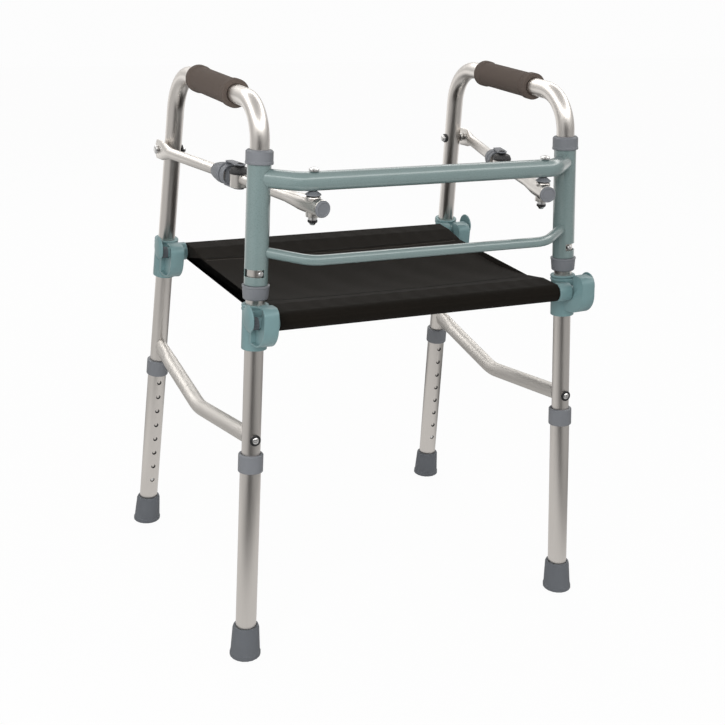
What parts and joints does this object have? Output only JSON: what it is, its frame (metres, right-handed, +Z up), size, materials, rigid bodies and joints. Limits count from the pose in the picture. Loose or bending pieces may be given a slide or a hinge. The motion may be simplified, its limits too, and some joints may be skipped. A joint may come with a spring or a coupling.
{
  "type": "walker with seat",
  "caption": "Folding aluminium walker with height-adjustable legs, teal front frame and a fabric sling seat held in clips.",
  "frame": {"origin": "centre of the footprint's bounding box, on the floor", "axes": "+Z up, +X to the right along the front cross bars, +Y from the front cross bars towards the open rear"},
  "size_m": [0.5746, 0.5042, 0.7775],
  "materials": {
    "aluminium": "satin anodised",
    "frame": "grey-green gloss coat",
    "clip": "moulded teal plastic",
    "plastic": "moulded grey plastic",
    "rubber": "moulded grey rubber",
    "grip": "brown-grey foam rubber",
    "fabric": "black-brown woven cloth",
    "steel": "plated"
  },
  "bodies": {
    "front_frame": {"upper_cross_bar": "frame", "lower_cross_bar": "frame", "sleeve_left": "frame", "bushing_top_left": "plastic", "bushing_bottom_left": "plastic", "clip_front_left": "clip", "pivot_bolt_left": "steel", "pivot_spacer_left": "plastic", "sleeve_right": "frame", "bushing_top_right": "plastic", "bushing_bottom_right": "plastic", "clip_front_right": "clip", "pivot_bolt_right": "steel", "pivot_spacer_right": "plastic"},
    "seat": {"seat_tube_front": "aluminium", "seat_tube_rear": "aluminium", "seat_sling": "fabric", "seat_cap_front_left": "clip", "seat_cap_front_right": "clip", "seat_cap_rear_left": "clip", "seat_cap_rear_right": "clip"},
    "side_left": {"side_tube_left": "aluminium", "grip_left": "grip", "stop_screw_left": "steel", "lower_brace_left": "aluminium", "brace_screw_front_left": "steel", "brace_screw_rear_left": "steel", "clip_rear_left": "clip"},
    "front_link_left": {"front_link_left": "aluminium"},
    "rear_link_left": {"rear_link_left": "aluminium", "rear_bolt_left": "steel"},
    "leg_front_left": {"lower_leg_front_left": "aluminium", "collar_front_left": "plastic", "foot_front_left": "rubber"},
    "button_front_left": {"button_front_left": "steel"},
    "leg_rear_left": {"lower_leg_rear_left": "aluminium", "collar_rear_left": "plastic", "foot_rear_left": "rubber"},
    "button_rear_left": {"button_rear_left": "steel"},
    "side_right": {"side_tube_right": "aluminium", "grip_right": "grip", "stop_screw_right": "steel", "lower_brace_right": "aluminium", "brace_screw_front_right": "steel", "brace_screw_rear_right": "steel", "clip_rear_right": "clip"},
    "front_link_right": {"front_link_right": "aluminium"},
    "rear_link_right": {"rear_link_right": "aluminium", "rear_bolt_right": "steel"},
    "leg_front_right": {"lower_leg_front_right": "aluminium", "collar_front_right": "plastic", "foot_front_right": "rubber"},
    "button_front_right": {"button_front_right": "steel"},
    "leg_rear_right": {"lower_leg_rear_right": "aluminium", "collar_rear_right": "plastic", "foot_rear_right": "rubber"},
    "button_rear_right": {"button_rear_right": "steel"}
  },
  "joints": [
    {"name": "left_fold", "type": "hinge", "parent": "front_frame", "child": "side_left", "pos_m": [-0.23586, -0.184, 0.6], "axis": [-0.0373, -0.0648, -0.9972], "range_deg": [0, 60]},
    {"name": "left_front_link_swing", "type": "hinge", "parent": "front_frame", "child": "front_link_left", "pos_m": [-0.1737, -0.2178, 0.633], "axis": [0, 0, -1], "range_deg": [0, 18.1]},
    {"name": "left_rear_link_swing", "type": "hinge", "parent": "side_left", "child": "rear_link_left", "pos_m": [-0.24013, 0.16036, 0.6385], "axis": [-0.0399, 0.1043, -0.9937], "range_deg": [0, 27.7]},
    {"name": "right_fold", "type": "hinge", "parent": "front_frame", "child": "side_right", "pos_m": [0.23586, -0.184, 0.6], "axis": [-0.0373, 0.0648, 0.9972], "range_deg": [0, 28.2]},
    {"name": "right_front_link_swing", "type": "hinge", "parent": "front_frame", "child": "front_link_right", "pos_m": [0.1737, -0.2178, 0.633], "axis": [0, 0, 1], "range_deg": [0, 4.6]},
    {"name": "right_rear_link_swing", "type": "hinge", "parent": "side_right", "child": "rear_link_right", "pos_m": [0.24013, 0.16036, 0.6385], "axis": [-0.0399, -0.1043, 0.9937], "range_deg": [0, 15.8]},
    {"name": "seat_draw_out", "type": "slide", "parent": "front_frame", "child": "seat", "axis": [0, -0.9958, 0.092], "range_m": [0, 1.848]},
    {"name": "leg_front_left_slide", "type": "slide", "parent": "side_left", "child": "leg_front_left", "axis": [-0.0373, -0.0648, -0.9972], "range_m": [0, 0.1778]},
    {"name": "button_front_left_press", "type": "slide", "parent": "side_left", "child": "button_front_left", "axis": [0.0191, -0.9978, 0.0641], "range_m": [0, 0.005], "stiffness_N_per_m": 200},
    {"name": "leg_rear_left_slide", "type": "slide", "parent": "side_left", "child": "leg_rear_left", "axis": [-0.0399, 0.1043, -0.9937], "range_m": [0, 0.1778]},
    {"name": "button_rear_left_press", "type": "slide", "parent": "side_left", "child": "button_rear_left", "axis": [-0.0125, 0.9944, 0.1049], "range_m": [0, 0.005], "stiffness_N_per_m": 200},
    {"name": "leg_front_right_slide", "type": "slide", "parent": "side_right", "child": "leg_front_right", "axis": [0.0373, -0.0648, -0.9972], "range_m": [0, 0.1778]},
    {"name": "button_front_right_press", "type": "slide", "parent": "side_right", "child": "button_front_right", "axis": [-0.0191, -0.9978, 0.0641], "range_m": [0, 0.005], "stiffness_N_per_m": 200},
    {"name": "leg_rear_right_slide", "type": "slide", "parent": "side_right", "child": "leg_rear_right", "axis": [0.0399, 0.1043, -0.9937], "range_m": [0, 0.1778]},
    {"name": "button_rear_right_press", "type": "slide", "parent": "side_right", "child": "button_rear_right", "axis": [0.0125, 0.9944, 0.1049], "range_m": [0, 0.005], "stiffness_N_per_m": 200}
  ],
  "couplings": [
    {"joint": "left_front_link_swing", "follows": "left_fold", "ratio": 0.3},
    {"joint": "left_rear_link_swing", "follows": "left_fold", "ratio": 0.46},
    {"joint": "right_front_link_swing", "follows": "left_fold", "ratio": 0.0747},
    {"joint": "right_rear_link_swing", "follows": "left_fold", "ratio": 0.2613},
    {"joint": "right_fold", "follows": "left_fold", "ratio": 0.4667},
    {"joint": "seat_draw_out", "follows": "left_fold", "m_per_rad": 1.7646}
  ]
}
